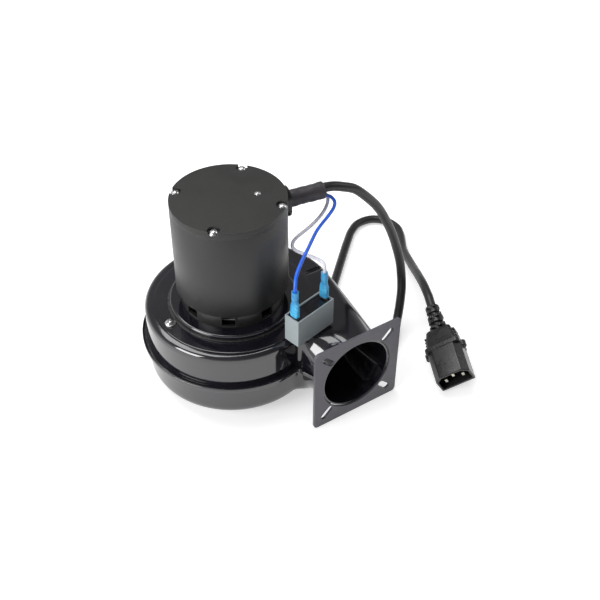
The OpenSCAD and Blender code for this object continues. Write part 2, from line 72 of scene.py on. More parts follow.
FLANGE = middle("outlet_flange")
FLANGE_LOW, FLANGE_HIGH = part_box("outlet_flange")
NECK_X = FLANGE.x
AXIS_Z = FLANGE.z
SCROLL_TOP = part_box("upper_shell")[1].z
SCROLL_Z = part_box("lower_shell")[0].z
SEAM_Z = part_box("upper_shell")[0].z
RIM_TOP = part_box("lower_shell")[1].z
NECK_R = (SCROLL_TOP - SCROLL_Z) / 2
TUBE_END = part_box("upper_shell")[0].y
SCROLL_R = 65.8 * MM
GROWTH = 4.9 * MM
ARC_A = Vector((NECK_X + NECK_R - SCROLL_R - 3 * GROWTH, 0.8 * MM))
ARC_B = ARC_A + Vector((GROWTH, 0))
ARC_C = ARC_B - Vector((0, GROWTH))
NECK_Y = -50 * MM
TUBE_Y = -85 * MM
TOP_ROUND = 4 * MM
LOW_ROUND = 9 * MM
SHEET = 1.2 * MM
SEAM_OUT = 4.2 * MM
OPENING_R = 50 * MM
INLET_R = 33 * MM
FILLET = 7 * MM


# ---------------------------------------------------------------- camera and cords first

def make_camera():
    turn, dip, roll = math.radians(33.7), math.radians(41.3), math.radians(0.4)
    ahead = Vector((math.sin(turn) * math.cos(dip), math.cos(turn) * math.cos(dip), -math.sin(dip)))
    right = Vector((math.cos(turn), -math.sin(turn), 0))
    up = right.cross(ahead)
    side = math.cos(roll) * right + math.sin(roll) * up
    top = math.cos(roll) * up - math.sin(roll) * right
    data = bpy.data.cameras.new("camera")
    data.sensor_width = 36
    data.lens = 59.66
    camera = bpy.data.objects.new("camera", data)
    turned = Matrix((side, top, -ahead)).transposed().to_4x4()
    camera.matrix_world = Matrix.Translation((-0.2740, -0.5025, 0.5674)) @ turned
    scene.collection.objects.link(camera)
    scene.camera = camera


LEAD_D = 7.4 * MM
WIRE_D = 2.6 * MM
PLUG_TAIL = Vector((151, -59, 29)) * MM
PLUG_TURN = math.radians(-113.5)
PLUG_DIP = math.radians(10.5)
PLUG_ROLL = math.radians(30)
PLUG_FRAME = (Matrix.Translation(PLUG_TAIL) @ Matrix.Rotation(PLUG_TURN, 4, "Z")
              @ Matrix.Rotation(PLUG_DIP, 4, "Y") @ Matrix.Rotation(PLUG_ROLL, 4, "X"))


def behind_plug(back):
    """A point on the plug's axis, in millimetres, that far behind its tail."""
    return tuple(PLUG_FRAME @ Vector((-back * MM, 0, 0)) / MM)


LEAD_WAY = [
    (59.5, -9, 148.5), (67, -10.1, 148.5), (75, -11.3, 148.5), (82, -12.4, 147.5),
    (90, -13.5, 144.5), (101, -14.2, 138.5), (114.5, -14.5, 124.5), (124.5, -14.5, 111.5),
    (133, -14.2, 96), (140, -14, 81), (145.5, -14.5, 65), (148.5, -17, 50.5),
    (148, -21, 38.5), (144.5, -27, 28.5), (138, -34, 19.5), (130.5, -41, 11.5),
    (122, -49, 6), (111, -56.5, 3.7), (98, -61.5, 3.7), (84, -60, 3.7), (71.5, -51.5, 3.7),
    (65, -37.5, 3.7), (66, -22.5, 3.7), (73.5, -11, 3.7), (98, 13, 3.7), (150, 63, 3.7),
    (165, 77, 3.7), (175.5, 86.1, 3.7), (188, 92.6, 3.7), (202, 91.5, 3.7), (211.7, 82.5, 3.7),
    (214.5, 68.8, 4), (209.5, 55.5, 5.2), (195, 33, 9), (180.5, 4, 18), (169.5, -18.5, 26),
    (162.5, -33, 30.2), behind_plug(13), behind_plug(6), behind_plug(0.1)]
BLUE_WAY = [
    (59.2, -10.5, 143.1), (66.5, -11.6, 143.1), (73.5, -12.8, 142.8), (78.5, -14.3, 140.3),
    (80, -17, 136.8), (76.5, -20.5, 134.6), (68, -26, 134.3), (51.5, -36, 134.5),
    (36.5, -47, 132), (24, -56, 129), (16.5, -62, 125.5), (13.2, -65.8, 120.5),
    (12.65, -66.4, 116), (12.65, -66.4, 107.5)]
WHITE_WAY = [
    (59.6, -7.5, 143.1), (67, -8.6, 143.1), (74.8, -9.8, 142.8), (77.5, -11.5, 138.5),
    (75, -13.8, 133.5), (67.5, -17.5, 130), (55, -22.5, 128.3), (39.5, -28.5, 128.8),
    (33, -32, 127.5), (32, -36, 125.5), (36.5, -43.5, 123.8), (41.5, -50.5, 122.5),
    (43.5, -56, 121.5), (42.3, -59.5, 119), (41.95, -60, 115.5), (41.95, -60, 107.5)]


def smooth_route(way, steps):
    """A curve through a route's points, in metres."""
    points = [Vector(p) * MM for p in way]
    last = len(points) - 1
    line = []
    for i in range(last):
        a, b = points[max(i - 1, 0)], points[i]
        c, d = points[i + 1], points[min(i + 2, last)]
        for k in range(steps):
            t = k / steps
            line.append(0.5 * (2 * b + (c - a) * t + (2 * a - 5 * b + 4 * c - d) * t * t
                               + (3 * b - a - 3 * c + d) * t ** 3))
    line.append(points[last])
    return line


def put(obj, material, body="housing", replaces=()):
    """Links a new piece, gives it its finish and makes it ride."""
    scene.collection.objects.link(obj)
    if material is not None:
        obj.data.materials.append(material)
    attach(obj, body)
    if replaces:
        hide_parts(*replaces)
    return obj


def cable(name, way, diameter, steps, material, replaces):
    """A round cable along a route, as one open spline."""
    curve = bpy.data.curves.new(name, "CURVE")
    curve.dimensions = "3D"
    curve.bevel_depth = diameter / 2
    curve.bevel_resolution = 6
    curve.use_fill_caps = True
    line = smooth_route(way, steps)
    spline = curve.splines.new("POLY")
    spline.points.add(len(line) - 1)
    for point, place in zip(spline.points, line):
        point.co = (*place, 1)
    spline.use_smooth = True
    obj = bpy.data.objects.new(name, curve)
    return put(obj, material, replaces=replaces), line


# ---------------------------------------------------------------- finishes

class Finish:
    """A Principled material with the nodes that vary its colour, roughness and relief."""

    def __init__(self, name, metallic=0.0, ior=1.5, coat=0.0, coat_roughness=0.1, transmission=0.0,
                 sheen=0.0):
        self.material = bpy.data.materials.new("look_" + name)
        self.material.use_nodes = True
        self.tree = self.material.node_tree
        self.shader = self.tree.nodes["Principled BSDF"]
        self.place = self.node("ShaderNodeTexCoord").outputs["Object"]
        self.relief = None
        for socket, value in (("Metallic", metallic), ("IOR", ior), ("Coat Weight", coat),
                              ("Coat Roughness", coat_roughness), ("Sheen Weight", sheen),
                              ("Transmission Weight", transmission)):
            self.shader.inputs[socket].default_value = value

    def node(self, kind, **links):
        made = self.tree.nodes.new(kind)
        for name, value in links.items():
            socket = made.inputs[name.replace("_", " ")]
            if isinstance(value, bpy.types.NodeSocket):
                self.tree.links.new(value, socket)
            else:
                socket.default_value = value
        return made

    def noise(self, size_mm, detail=4.0, stretch=(1, 1, 1), roughness=0.55):
        """Grey noise whose features are about size_mm wide."""
        mapped = self.node("ShaderNodeMapping", Vector=self.place, Scale=stretch)
        made = self.node("ShaderNodeTexNoise", Vector=mapped.outputs[0], Scale=1000.0 / size_mm,
                         Detail=detail, Roughness=roughness)
        return made.outputs[0]

    def spots(self, size_mm, low, high):
        """Sparse specks: 1 in a speck and 0 elsewhere."""
        made = self.node("ShaderNodeTexVoronoi", Vector=self.place, Scale=1000.0 / size_mm)
        return self.fit(made.outputs["Distance"], low, high, 1.0, 0.0)

    def fit(self, source, low, high, a, b):
        made = self.node("ShaderNodeMapRange", Value=source, From_Min=low, From_Max=high,
                         To_Min=a, To_Max=b)
        return made.outputs[0]

    def mix(self, amount, a, b):
        made = self.node("ShaderNodeMix")
        made.data_type = "RGBA"
        colours = [s for s in made.inputs if s.type == "RGBA"]
        self.tree.links.new(amount, made.inputs[0])
        for socket, value in zip(colours, (a, b)):
            if isinstance(value, bpy.types.NodeSocket):
                self.tree.links.new(value, socket)
            else:
                socket.default_value = (*value, 1)
        return next(s for s in made.outputs if s.type == "RGBA")

    def edge(self, radius_mm, low=0.02, high=0.25):
        """1 on sharp outer and inner edges, and 0 on open faces."""
        rounded = self.node("ShaderNodeBevel", Radius=radius_mm * MM)
        rounded.samples = 4
        face = self.node("ShaderNodeNewGeometry").outputs["Normal"]
        dot = self.node("ShaderNodeVectorMath")
        dot.operation = "DOT_PRODUCT"
        self.tree.links.new(rounded.outputs[0], dot.inputs[0])
        self.tree.links.new(face, dot.inputs[1])
        return self.fit(dot.outputs["Value"], 1 - low, 1 - high, 0.0, 1.0)

    def colour(self, source):
        self.tree.links.new(source, self.shader.inputs["Base Color"])

    def roughness(self, source, low, high, a=0.3, b=0.7):
        self.tree.links.new(self.fit(source, a, b, low, high), self.shader.inputs["Roughness"])

    def bump(self, source, depth_mm, strength=1.0):
        made = self.node("ShaderNodeBump", Height=source, Strength=strength, Distance=depth_mm * MM)
        if self.relief is not None:
            self.tree.links.new(self.relief, made.inputs["Normal"])
        self.relief = made.outputs[0]
        self.tree.links.new(self.relief, self.shader.inputs["Normal"])


def scaled(colour, factor):
    return tuple(min(1.0, c * factor) for c in colour)


def paint(name, colour, rough, peel=0.03, grain=0.0, ior=1.5, coat=0.0, wear=None, dust=0.1):
    """Sprayed paint: soft orange peel or grain, faint dust, and worn edges where wear is a colour."""
    f = Finish(name, ior=ior, coat=coat, coat_roughness=0.06)
    cloud = f.noise(26, 5)
    fine = f.noise(0.9, 3)
    base = f.mix(f.fit(cloud, 0.35, 0.65, 0, 1), scaled(colour, 0.88), scaled(colour, 1.14))
    base = f.mix(f.fit(fine, 0.62, 0.8, 0, dust), base, (0.20, 0.20, 0.19))
    if wear is not None:
        worn = f.node("ShaderNodeMath")
        worn.operation = "MULTIPLY"
        f.tree.links.new(f.edge(0.5), worn.inputs[0])
        f.tree.links.new(f.fit(f.noise(6, 4), 0.42, 0.62, 0.0, 0.75), worn.inputs[1])
        base = f.mix(worn.outputs[0], base, wear)
    f.colour(base)
    f.roughness(cloud, rough[0], rough[1])
    f.bump(f.noise(2.6, 2), peel)
    if grain:
        f.bump(f.noise(0.55, 3), grain)
    return f.material


def plastic(name, colour, rough, grain=0.02, ior=1.5, transmission=0.0, spread=0.1, stretch=(1, 1, 1)):
    """Moulded or extruded plastic with a fine skin and soft handling marks."""
    f = Finish(name, ior=ior, transmission=transmission)
    cloud = f.noise(9, 5, stretch)
    base = f.mix(f.fit(cloud, 0.35, 0.65, 0, 1), scaled(colour, 1 - spread), scaled(colour, 1 + spread))
    f.colour(f.mix(f.fit(f.noise(0.7, 2), 0.6, 0.8, 0, 0.06), base, (0.5, 0.5, 0.5)))
    f.roughness(cloud, rough[0], rough[1])
    f.bump(f.noise(0.45, 3), grain)
    f.bump(f.noise(5, 2, stretch), grain * 3)
    return f.material


def metal(name, colour, rough, brushed=(1, 1, 1), grain=0.015, stain=(0.25, 0.22, 0.2), stained=0.3):
    """Bare or plated metal with fine grain, smears and a little tarnish in patches."""
    f = Finish(name, metallic=1.0)
    cloud = f.noise(5, 5)
    streak = f.noise(0.8, 4, brushed)
    base = f.mix(f.fit(streak, 0.3, 0.7, 0, 1), scaled(colour, 0.88), scaled(colour, 1.08))
    f.colour(f.mix(f.fit(cloud, 0.55, 0.8, 0, stained), base, stain))
    f.roughness(cloud, rough[0], rough[1])
    f.bump(streak, grain)
    return f.material


def wound(name, colour):
    """Enamelled wire laid round and round."""
    f = Finish(name, metallic=0.6, coat=0.5)
    turns = f.node("ShaderNodeTexWave", Vector=f.place, Scale=420.0, Distortion=0.6, Detail=1.0)
    turns.wave_type = "RINGS"
    turns.rings_direction = "Z"
    f.colour(f.mix(turns.outputs["Fac"], scaled(colour, 0.45), colour))
    f.roughness(f.noise(3, 3), 0.25, 0.45)
    f.bump(turns.outputs["Fac"], 0.25)
    return f.material


def laminated(name, colour):
    """A stack of thin steel sheets seen on edge."""
    f = Finish(name, metallic=1.0)
    sheets = f.node("ShaderNodeTexWave", Vector=f.place, Scale=310.0, Distortion=0.1, Detail=0.0)
    sheets.wave_type = "BANDS"
    sheets.bands_direction = "Z"
    rust = f.fit(f.noise(4, 5), 0.58, 0.8, 0, 0.5)
    base = f.mix(sheets.outputs["Fac"], scaled(colour, 0.6), colour)
    f.colour(f.mix(rust, base, (0.16, 0.09, 0.06)))
    f.roughness(f.noise(3, 3), 0.35, 0.6)
    f.bump(sheets.outputs["Fac"], 0.06)
    return f.material


def paper(name, colour):
    """A blank coated label, slightly mottled."""
    f = Finish(name)
    fibre = f.noise(1.2, 6)
    f.colour(f.mix(f.fit(fibre, 0.35, 0.65, 0, 1), scaled(colour, 0.93), colour))
    f.roughness(fibre, 0.35, 0.5)
    f.bump(fibre, 0.01)
    return f.material


def make_finishes():
    worn_paint = (0.17, 0.165, 0.17)
    return {
        "black_gloss_paint": paint("gloss", (0.009, 0.008, 0.012), (0.06, 0.14), 0.012, ior=1.75, coat=0.25),
        "grey_satin_paint": paint("flange", (0.088, 0.083, 0.100), (0.34, 0.46), 0.015, 0.012,
                                  wear=(0.20, 0.19, 0.21)),
        "black_satin_paint": paint("satin", (0.018, 0.018, 0.018), (0.26, 0.38), 0.015, 0.006,
                                   wear=worn_paint),
        "black_matte_paint": paint("matte", (0.012, 0.012, 0.0125), (0.36, 0.46), 0.012, 0.016,
                                   wear=worn_paint),
        "dark_grey_paint": paint("cap", (0.011, 0.011, 0.0098), (0.42, 0.56), 0.014, 0.03,
                                 wear=(0.12, 0.12, 0.12), dust=0.07),
        "weld_steel": metal("weld", (0.075, 0.072, 0.075), (0.4, 0.6), grain=0.15,
                            stain=(0.02, 0.02, 0.022), stained=0.9),
        "fibre": plastic("fibre", (0.022, 0.021, 0.021), (0.22, 0.34), 0.03),
        "zinc_steel": metal("zinc", (0.66, 0.66, 0.67), (0.18, 0.34), stain=(0.30, 0.29, 0.28)),
        "label_paper": paper("label", (0.62, 0.62, 0.60)),
        "cast_aluminium": metal("cast", (0.52, 0.53, 0.55), (0.42, 0.6), grain=0.06),
        "core_steel": laminated("core", (0.40, 0.40, 0.42)),
        "copper": wound("copper", (0.62, 0.26, 0.12)),
        "bearing_steel": metal("bearing", (0.62, 0.62, 0.63), (0.10, 0.2), stained=0.1),
        "bearing_brass": metal("cage", (0.60, 0.43, 0.18), (0.22, 0.36)),
        "wheel_aluminium": metal("wheel", (0.60, 0.61, 0.63), (0.26, 0.42), (1, 1, 8), 0.02),
        "hub_brass": metal("hub", (0.58, 0.45, 0.22), (0.22, 0.38), (1, 1, 10)),
        "black_plastic": plastic("plug", (0.011, 0.011, 0.012), (0.20, 0.36), 0.02),
        "shrink_sleeve": plastic("sleeve", (0.040, 0.036, 0.042), (0.42, 0.55), 0.03, spread=0.2,
                                 stretch=(0.3, 1, 1)),
        "grey_plastic": plastic("case", (0.31, 0.35, 0.365), (0.40, 0.52), 0.02, spread=0.04),
        "black_resin": plastic("resin", (0.010, 0.010, 0.012), (0.10, 0.22), 0.05),
        "tab_brass": metal("tab", (0.62, 0.60, 0.52), (0.25, 0.4)),
        "blue_plastic": plastic("terminal", (0.08, 0.47, 1.0), (0.18, 0.3), 0.02, ior=1.45,
                                transmission=0.25, spread=0.3),
        "blue_pvc": plastic("blue", (0.012, 0.13, 0.80), (0.26, 0.36), 0.012, spread=0.12),
        "white_pvc": plastic("white", (0.86, 0.86, 0.95), (0.26, 0.36), 0.012, transmission=0.15,
                             spread=0.06),
        "black_pvc": plastic("lead", (0.014, 0.014, 0.014), (0.32, 0.44), 0.03),
    }


# ---------------------------------------------------------------- mesh helpers

def mesh_piece(name, vertices, faces, material, body="housing", replaces=(), sharp=35):
    mesh = bpy.data.meshes.new(name)
    mesh.from_pydata([tuple(v) for v in vertices], [], faces)
    mesh.validate()
    mesh.shade_smooth()
    mesh.set_sharp_from_angle(angle=math.radians(sharp))
    return put(bpy.data.objects.new(name, mesh), material, body, replaces)


def loft(rings, closed=True, cap_start=True, cap_end=True):
    """Vertices and faces of a skin through rings of equal count."""
    count = len(rings[0])
    vertices = [p for ring in rings for p in ring]
    faces = []
    for i in range(len(rings) - 1):
        for k in range(count if closed else count - 1):
            a, b = i * count + k, i * count + (k + 1) % count
            faces.append((a, b, b + count, a + count))
    if cap_start:
        faces.append(tuple(reversed(range(count))))
    if cap_end:
        start = (len(rings) - 1) * count
        faces.append(tuple(range(start, start + count)))
    return vertices, faces


def joined(*parts):
    vertices, faces = [], []
    for some_vertices, some_faces in parts:
        start = len(vertices)
        vertices += list(some_vertices)
        faces += [tuple(start + i for i in face) for face in some_faces]
    return vertices, faces


def turned(matrix, part):
    vertices, faces = part
    return [matrix @ Vector(v) for v in vertices], faces


def lathe(profile, count=64, wobble=None):
    """A closed skin of revolution about X through (x, radius) points."""
    rings = []
    for i, (x, r) in enumerate(profile):
        ring = []
        for k in range(count):
            a = 2 * math.pi * k / count
            reach = r if wobble is None else r + wobble(i, a)
            ring.append(Vector((x, reach * math.cos(a), reach * math.sin(a))))
        rings.append(ring)
    return loft(rings)


def soften(obj, width_mm, segments=2, angle=32):
    """Rounds the edges of a piece a little, as pressing, moulding and paint do."""
    weld = obj.modifiers.new("weld", "WELD")
    weld.merge_threshold = 1e-6
    bevel = obj.modifiers.new("edges", "BEVEL")
    bevel.width = width_mm * MM
    bevel.segments = segments
    bevel.limit_method = "ANGLE"
    bevel.angle_limit = math.radians(angle)
    bevel.harden_normals = False
    return obj


# ---------------------------------------------------------------- the casing's surface

def plan_distance(x, y):
    """How far a plan point is outside the scroll and neck's outline, and outside the scroll alone."""
    in_c = (x >= ARC_C.x) & (y >= ARC_C.y)
    in_b = (x < ARC_C.x) & (y >= ARC_A.y)
    scroll = np.hypot(x - ARC_A.x, y - ARC_A.y) - SCROLL_R
    scroll = np.where(in_b, np.hypot(x - ARC_B.x, y - ARC_B.y) - SCROLL_R - GROWTH, scroll)
    scroll = np.where(in_c, np.hypot(x - ARC_C.x, y - ARC_C.y) - SCROLL_R - 2 * GROWTH, scroll)
    neck = np.maximum(np.abs(x - NECK_X) - NECK_R, y - ARC_C.y)
    corner = np.hypot(np.maximum(FILLET - scroll, 0), np.maximum(FILLET - neck, 0))
    filleted = np.maximum(FILLET, np.minimum(scroll, neck)) - corner
    left = (x < NECK_X) & (y < -30 * MM)
    return np.where(left, filleted, np.minimum(scroll, neck)), scroll


def casing(p):
    """Distance-like field of the casing's outside: below zero inside."""
    x, y, z = p[..., 0], p[..., 1], p[..., 2]
    plan, scroll = plan_distance(x, y)
    left = np.clip((NECK_Y - y) / (NECK_Y - TUBE_Y), 0, 1)
    right = np.clip((ARC_C.y - y) / (ARC_C.y - TUBE_Y), 0, 1) ** 1.3
    along = np.where(x < NECK_X, left * left * (3 - 2 * left), right)
    off = np.clip(scroll / (9 * MM), 0, 1)
    share = along * off * off * (3 - 2 * off)
    start = np.where(z > AXIS_Z, TOP_ROUND, LOW_ROUND)
    r = start + (NECK_R - start) * share
    out = plan + r
    high = np.abs(z - AXIS_Z) - (NECK_R - r)
    return np.hypot(np.maximum(out, 0), np.maximum(high, 0)) + np.minimum(np.maximum(out, high), 0) - r


def slope(p):
    """The field's gradient."""
    step = 0.04 * MM
    parts = []
    for k in range(3):
        shift = np.zeros(3)
        shift[k] = step
        parts.append((casing(p + shift) - casing(p - shift)) / (2 * step))
    return np.stack(parts, -1)


def onto_casing(p, times=4):
    """Moves points along the gradient until they lie on the casing's outside."""
    for _ in range(times):
        g = slope(p)
        size = np.maximum((g * g).sum(-1, keepdims=True), 0.05)
        p = p - np.clip(casing(p)[..., None] * g / size, -2 * MM, 2 * MM)
    return p


def surface_net(low, high, step):
    """Vertices and quads of the casing's outside, one vertex to each grid cell that it crosses."""
    axes = [np.arange(low[k], high[k] + step, step) for k in range(3)]
    grid = np.stack(np.meshgrid(*axes, indexing="ij"), -1)
    value = casing(grid)
    inside = value < 0
    shape = np.array(value.shape) - 1
    total = np.zeros((*shape, 3))
    count = np.zeros(shape)
    for k in range(3):
        here = [slice(None)] * 3
        there = [slice(None)] * 3
        here[k], there[k] = slice(0, -1), slice(1, None)
        here, there = tuple(here), tuple(there)
        cross = inside[here] != inside[there]
        t = np.where(cross, value[here] / np.where(cross, value[here] - value[there], 1), 0)
        place = grid[here] + t[..., None] * (grid[there] - grid[here])
        others = [a for a in range(3) if a != k]
        for i in (0, 1):
            for j in (0, 1):
                part = [slice(None)] * 3
                part[others[0]] = slice(i, i + shape[others[0]])
                part[others[1]] = slice(j, j + shape[others[1]])
                part = tuple(part)
                count += cross[part]
                total += place[part] * cross[part][..., None]
    active = count > 0
    index = -np.ones(shape, int)
    index[active] = np.arange(active.sum())
    vertices = total[active] / count[active][:, None]
    faces = []
    for k in range(3):
        here = [slice(1, -1)] * 3
        there = [slice(1, -1)] * 3
        here[k], there[k] = slice(0, -1), slice(1, None)
        cross = inside[tuple(here)] != inside[tuple(there)]
        falls = inside[tuple(here)][cross]
        at = np.argwhere(cross)
        a, b = [x for x in range(3) if x != k]
        at[:, a] += 1
        at[:, b] += 1
        corner = []
        for i, j in ((0, 0), (1, 0), (1, 1), (0, 1)):
            cell = at.copy()
            cell[:, a] -= i
            cell[:, b] -= j
            corner.append(index[cell[:, 0], cell[:, 1], cell[:, 2]])
        quads = np.stack(corner, -1)
        swap = falls if k == 1 else ~falls
        quads[swap] = quads[swap][:, ::-1]
        faces.append(quads)
    faces = np.concatenate(faces)
    return vertices, faces[(faces >= 0).all(1)]


def relax(vertices, faces, times):
    """Evens out the vertices along the surface."""
    a = faces.ravel()
    b = np.roll(faces, -1, axis=1).ravel()
    edges = np.concatenate([np.stack([a, b], 1), np.stack([b, a], 1)])
    count = np.bincount(edges[:, 0], minlength=len(vertices))[:, None]
    for _ in range(times):
        mean = np.stack([np.bincount(edges[:, 0], vertices[edges[:, 1], k], len(vertices))
                         for k in range(3)], 1) / np.maximum(count, 1)
        vertices = onto_casing(0.5 * vertices + 0.5 * mean, 2)
    return vertices


def cut_half(vertices, faces, upper):
    """One pressing's outside: cut at the seam, at the tube's end and at its round opening."""
    bm = bmesh.new()
    made = [bm.verts.new(v) for v in vertices]
    for face in faces:
        bm.faces.new([made[i] for i in face])
    everything = bm.verts[:] + bm.edges[:] + bm.faces[:]
    bmesh.ops.bisect_plane(bm, geom=everything, plane_co=(0, 0, SEAM_Z), dist=1e-5,
                           plane_no=(0, 0, -1 if upper else 1), clear_outer=True)
    everything = bm.verts[:] + bm.edges[:] + bm.faces[:]
    bmesh.ops.bisect_plane(bm, geom=everything, plane_co=(0, TUBE_END, 0), dist=1e-5,
                           plane_no=(0, -1, 0), clear_outer=True)
    level, radius = (SCROLL_TOP, OPENING_R) if upper else (SCROLL_Z, INLET_R)
    gone = [f for f in bm.faces if abs(f.calc_center_median().z - level) < 1 * MM
            and f.calc_center_median().xy.length < radius]
    bmesh.ops.delete(bm, geom=gone, context="FACES")
    for v in bm.verts:
        if v.is_boundary and abs(v.co.z - level) < 1 * MM and abs(v.co.xy.length - radius) < 4 * MM:
            v.co.xy = v.co.xy.normalized() * radius
    bmesh.ops.recalc_face_normals(bm, faces=bm.faces)
    return bm


def thick_shell(name, bm, material, replaces):
    """Gives a pressing its sheet's thickness inwards, with the field's own normals."""
    bm.verts.index_update()
    outer = np.array([v.co for v in bm.verts])
    normal = slope(outer)
    normal /= np.linalg.norm(normal, axis=1)[:, None]
    ends = np.array([[v.index for v in e.verts] for e in bm.edges])
    ends = np.concatenate([ends, ends[:, ::-1]])
    for _ in range(3):
        near = [np.bincount(ends[:, 0], normal[ends[:, 1], k], len(outer)) for k in range(3)]
        normal = 2 * normal + np.stack(near, 1)
        normal /= np.linalg.norm(normal, axis=1)[:, None]
    inner = outer - SHEET * normal
    count = len(outer)
    faces = [tuple(v.index for v in f.verts) for f in bm.faces]
    centre = np.array([f.calc_center_median() for f in bm.faces])
    turned_out = (np.array([f.normal for f in bm.faces]) * slope(centre)).sum(1) > 0
    faces = [f if ok else f[::-1] for f, ok in zip(faces, turned_out)]
    skin = faces + [tuple(i + count for i in reversed(f)) for f in faces]
    directed = {(f[i], f[(i + 1) % len(f)]) for f in faces for i in range(len(f))}
    strip = [(b, a, a + count, b + count) for a, b in directed if (b, a) not in directed]
    mesh = bpy.data.meshes.new(name)
    mesh.from_pydata(np.concatenate([outer, inner]).tolist(), [], skin + sorted(strip))
    mesh.shade_smooth()
    every = np.concatenate([normal, -normal])
    loops = []
    for i, face in enumerate(mesh.polygons):
        flat = i >= len(skin)
        for vertex in face.vertices:
            loops.append(tuple(face.normal) if flat else tuple(every[vertex]))
    mesh.normals_split_custom_set(loops)
    bm.free()
    return put(bpy.data.objects.new(name, mesh), material, replaces=replaces)


def seam_line():
    """Plan points round the seam, from the tube's left side round the scroll to its right side."""
    stop = TUBE_Y + 4 * MM
    place = np.array([NECK_X - NECK_R, stop, SEAM_Z])
    line = [place]
    while place[0] < NECK_X or place[1] > stop:
        out = slope(place)
        place = place + 1.4 * MM * np.array([out[1], -out[0], 0]) / np.hypot(out[0], out[1])
        for _ in range(3):
            out = slope(place)
            out[2] = 0
            place = place - casing(place) * out / max((out * out).sum(), 0.05)
        line.append(place)
    level = np.array(line)
    smooth = level.copy()
    for _ in range(3):
        smooth[1:-1] = (smooth[:-2] + 2 * smooth[1:-1] + smooth[2:]) / 4
    return smooth


def seam_rim(name, line, profile, material):
    """Sweeps a small section round the seam. Its points are (out, height over the seam)."""
    g = slope(line)
    g[:, 2] = 0
    g /= np.linalg.norm(g, axis=1)[:, None]
    for _ in range(4):
        g[1:-1] = (g[:-2] + 2 * g[1:-1] + g[2:]) / 4
        g /= np.linalg.norm(g, axis=1)[:, None]
    last = len(line) - 1
    rings = []
    for i, (place, out) in enumerate(zip(line, g)):
        fade = min(1.0, min(i, last - i) / 7)
        rings.append([Vector(place + out * o * fade) + Vector((0, 0, z)) for o, z in profile])
    vertices, faces = loft(rings)
    return mesh_piece(name, vertices, faces, material, sharp=50)


def rounded_profile(corners, radius, steps=4):
    """A closed outline with its corners rounded."""
    outline = []
    count = len(corners)
    for i, corner in enumerate(corners):
        here = Vector(corner)
        before = (Vector(corners[i - 1]) - here)
        after = (Vector(corners[(i + 1) % count]) - here)
        cut = min(radius, before.length * 0.45, after.length * 0.45)
        a, b = here + before.normalized() * cut, here + after.normalized() * cut
        for k in range(steps + 1):
            t = k / steps
            outline.append((1 - t) ** 2 * a + 2 * t * (1 - t) * here + t * t * b)
    return outline


def make_casing(finish):
    low = (ARC_A.x - SCROLL_R - 3 * MM, TUBE_END - 5 * MM, SCROLL_Z - 3 * MM)
    high = (NECK_X + NECK_R + 3 * MM, ARC_B.y + SCROLL_R + 2 * GROWTH + 3 * MM, SCROLL_TOP + 3 * MM)
    step = 1.5 * MM
    vertices, faces = surface_net(low, high, step)
    vertices = relax(onto_casing(vertices, 6), faces, 5)
    upper = cut_half(vertices, faces, True)
    lower = cut_half(vertices, faces, False)
    thick_shell("upper_pressing", upper, finish, ["upper_shell"])
    thick_shell("lower_pressing", lower, finish, ["lower_shell"])
    line = seam_line()
    top = RIM_TOP - SEAM_Z
    hook = rounded_profile([(-0.8 * MM, -1.4 * MM), (SEAM_OUT, -1.4 * MM), (SEAM_OUT, top),
                            (SEAM_OUT - 1.1 * MM, top), (SEAM_OUT - 1.1 * MM, -0.1 * MM),
                            (-0.8 * MM, -0.1 * MM)], 0.55 * MM)
    tongue = rounded_profile([(-0.8 * MM, 0), (SEAM_OUT - 1.25 * MM, 0),
                              (SEAM_OUT - 1.25 * MM, 1.3 * MM), (-0.8 * MM, 1.3 * MM)], 0.5 * MM)
    seam_rim("lower_seam", line, hook, finish)
    seam_rim("upper_seam", line, tongue, finish)


# ---------------------------------------------------------------- smaller pieces

def make_welds(material):
    """Lumpy runs of weld between the tube and the back of the flange."""
    parts = []
    back = FLANGE_HIGH.y
    for run, start in enumerate(range(20, 321, 60)):
        steps = 26
        rings = []
        for i in range(steps + 1):
            share = i / steps
            a = math.radians(start + 24 * share)
            swell = math.sin(math.pi * min(1, max(0, share * 0.94 + 0.03))) ** 0.45
            swell *= 0.86 + 0.14 * math.sin(9.5 * share * math.pi + run)
            out = Vector((math.cos(a), 0, math.sin(a)))
            centre = Vector((NECK_X, back, AXIS_Z)) + out * (NECK_R + 0.05 * MM)
            ring = []
            for k in range(9):
                b = math.pi / 2 * k / 8
                size = 2.15 * MM * swell
                ring.append(centre + out * size * math.cos(b) + Vector((0, size * math.sin(b), 0)))
            ring.append(centre)
            rings.append(ring)
        parts.append(loft(rings))
    vertices, faces = joined(*parts)
    return mesh_piece("weld_runs", vertices, faces, material,
                      replaces=["flange_welds"], sharp=60)


def superellipse(half_a, half_b, power, count=40):
    ring = []
    for k in range(count):
        a = 2 * math.pi * k / count
        c, s = math.cos(a), math.sin(a)
        ring.append((half_a * math.copysign(abs(c) ** (2 / power), c),
                     half_b * math.copysign(abs(s) ** (2 / power), s)))
    return ring


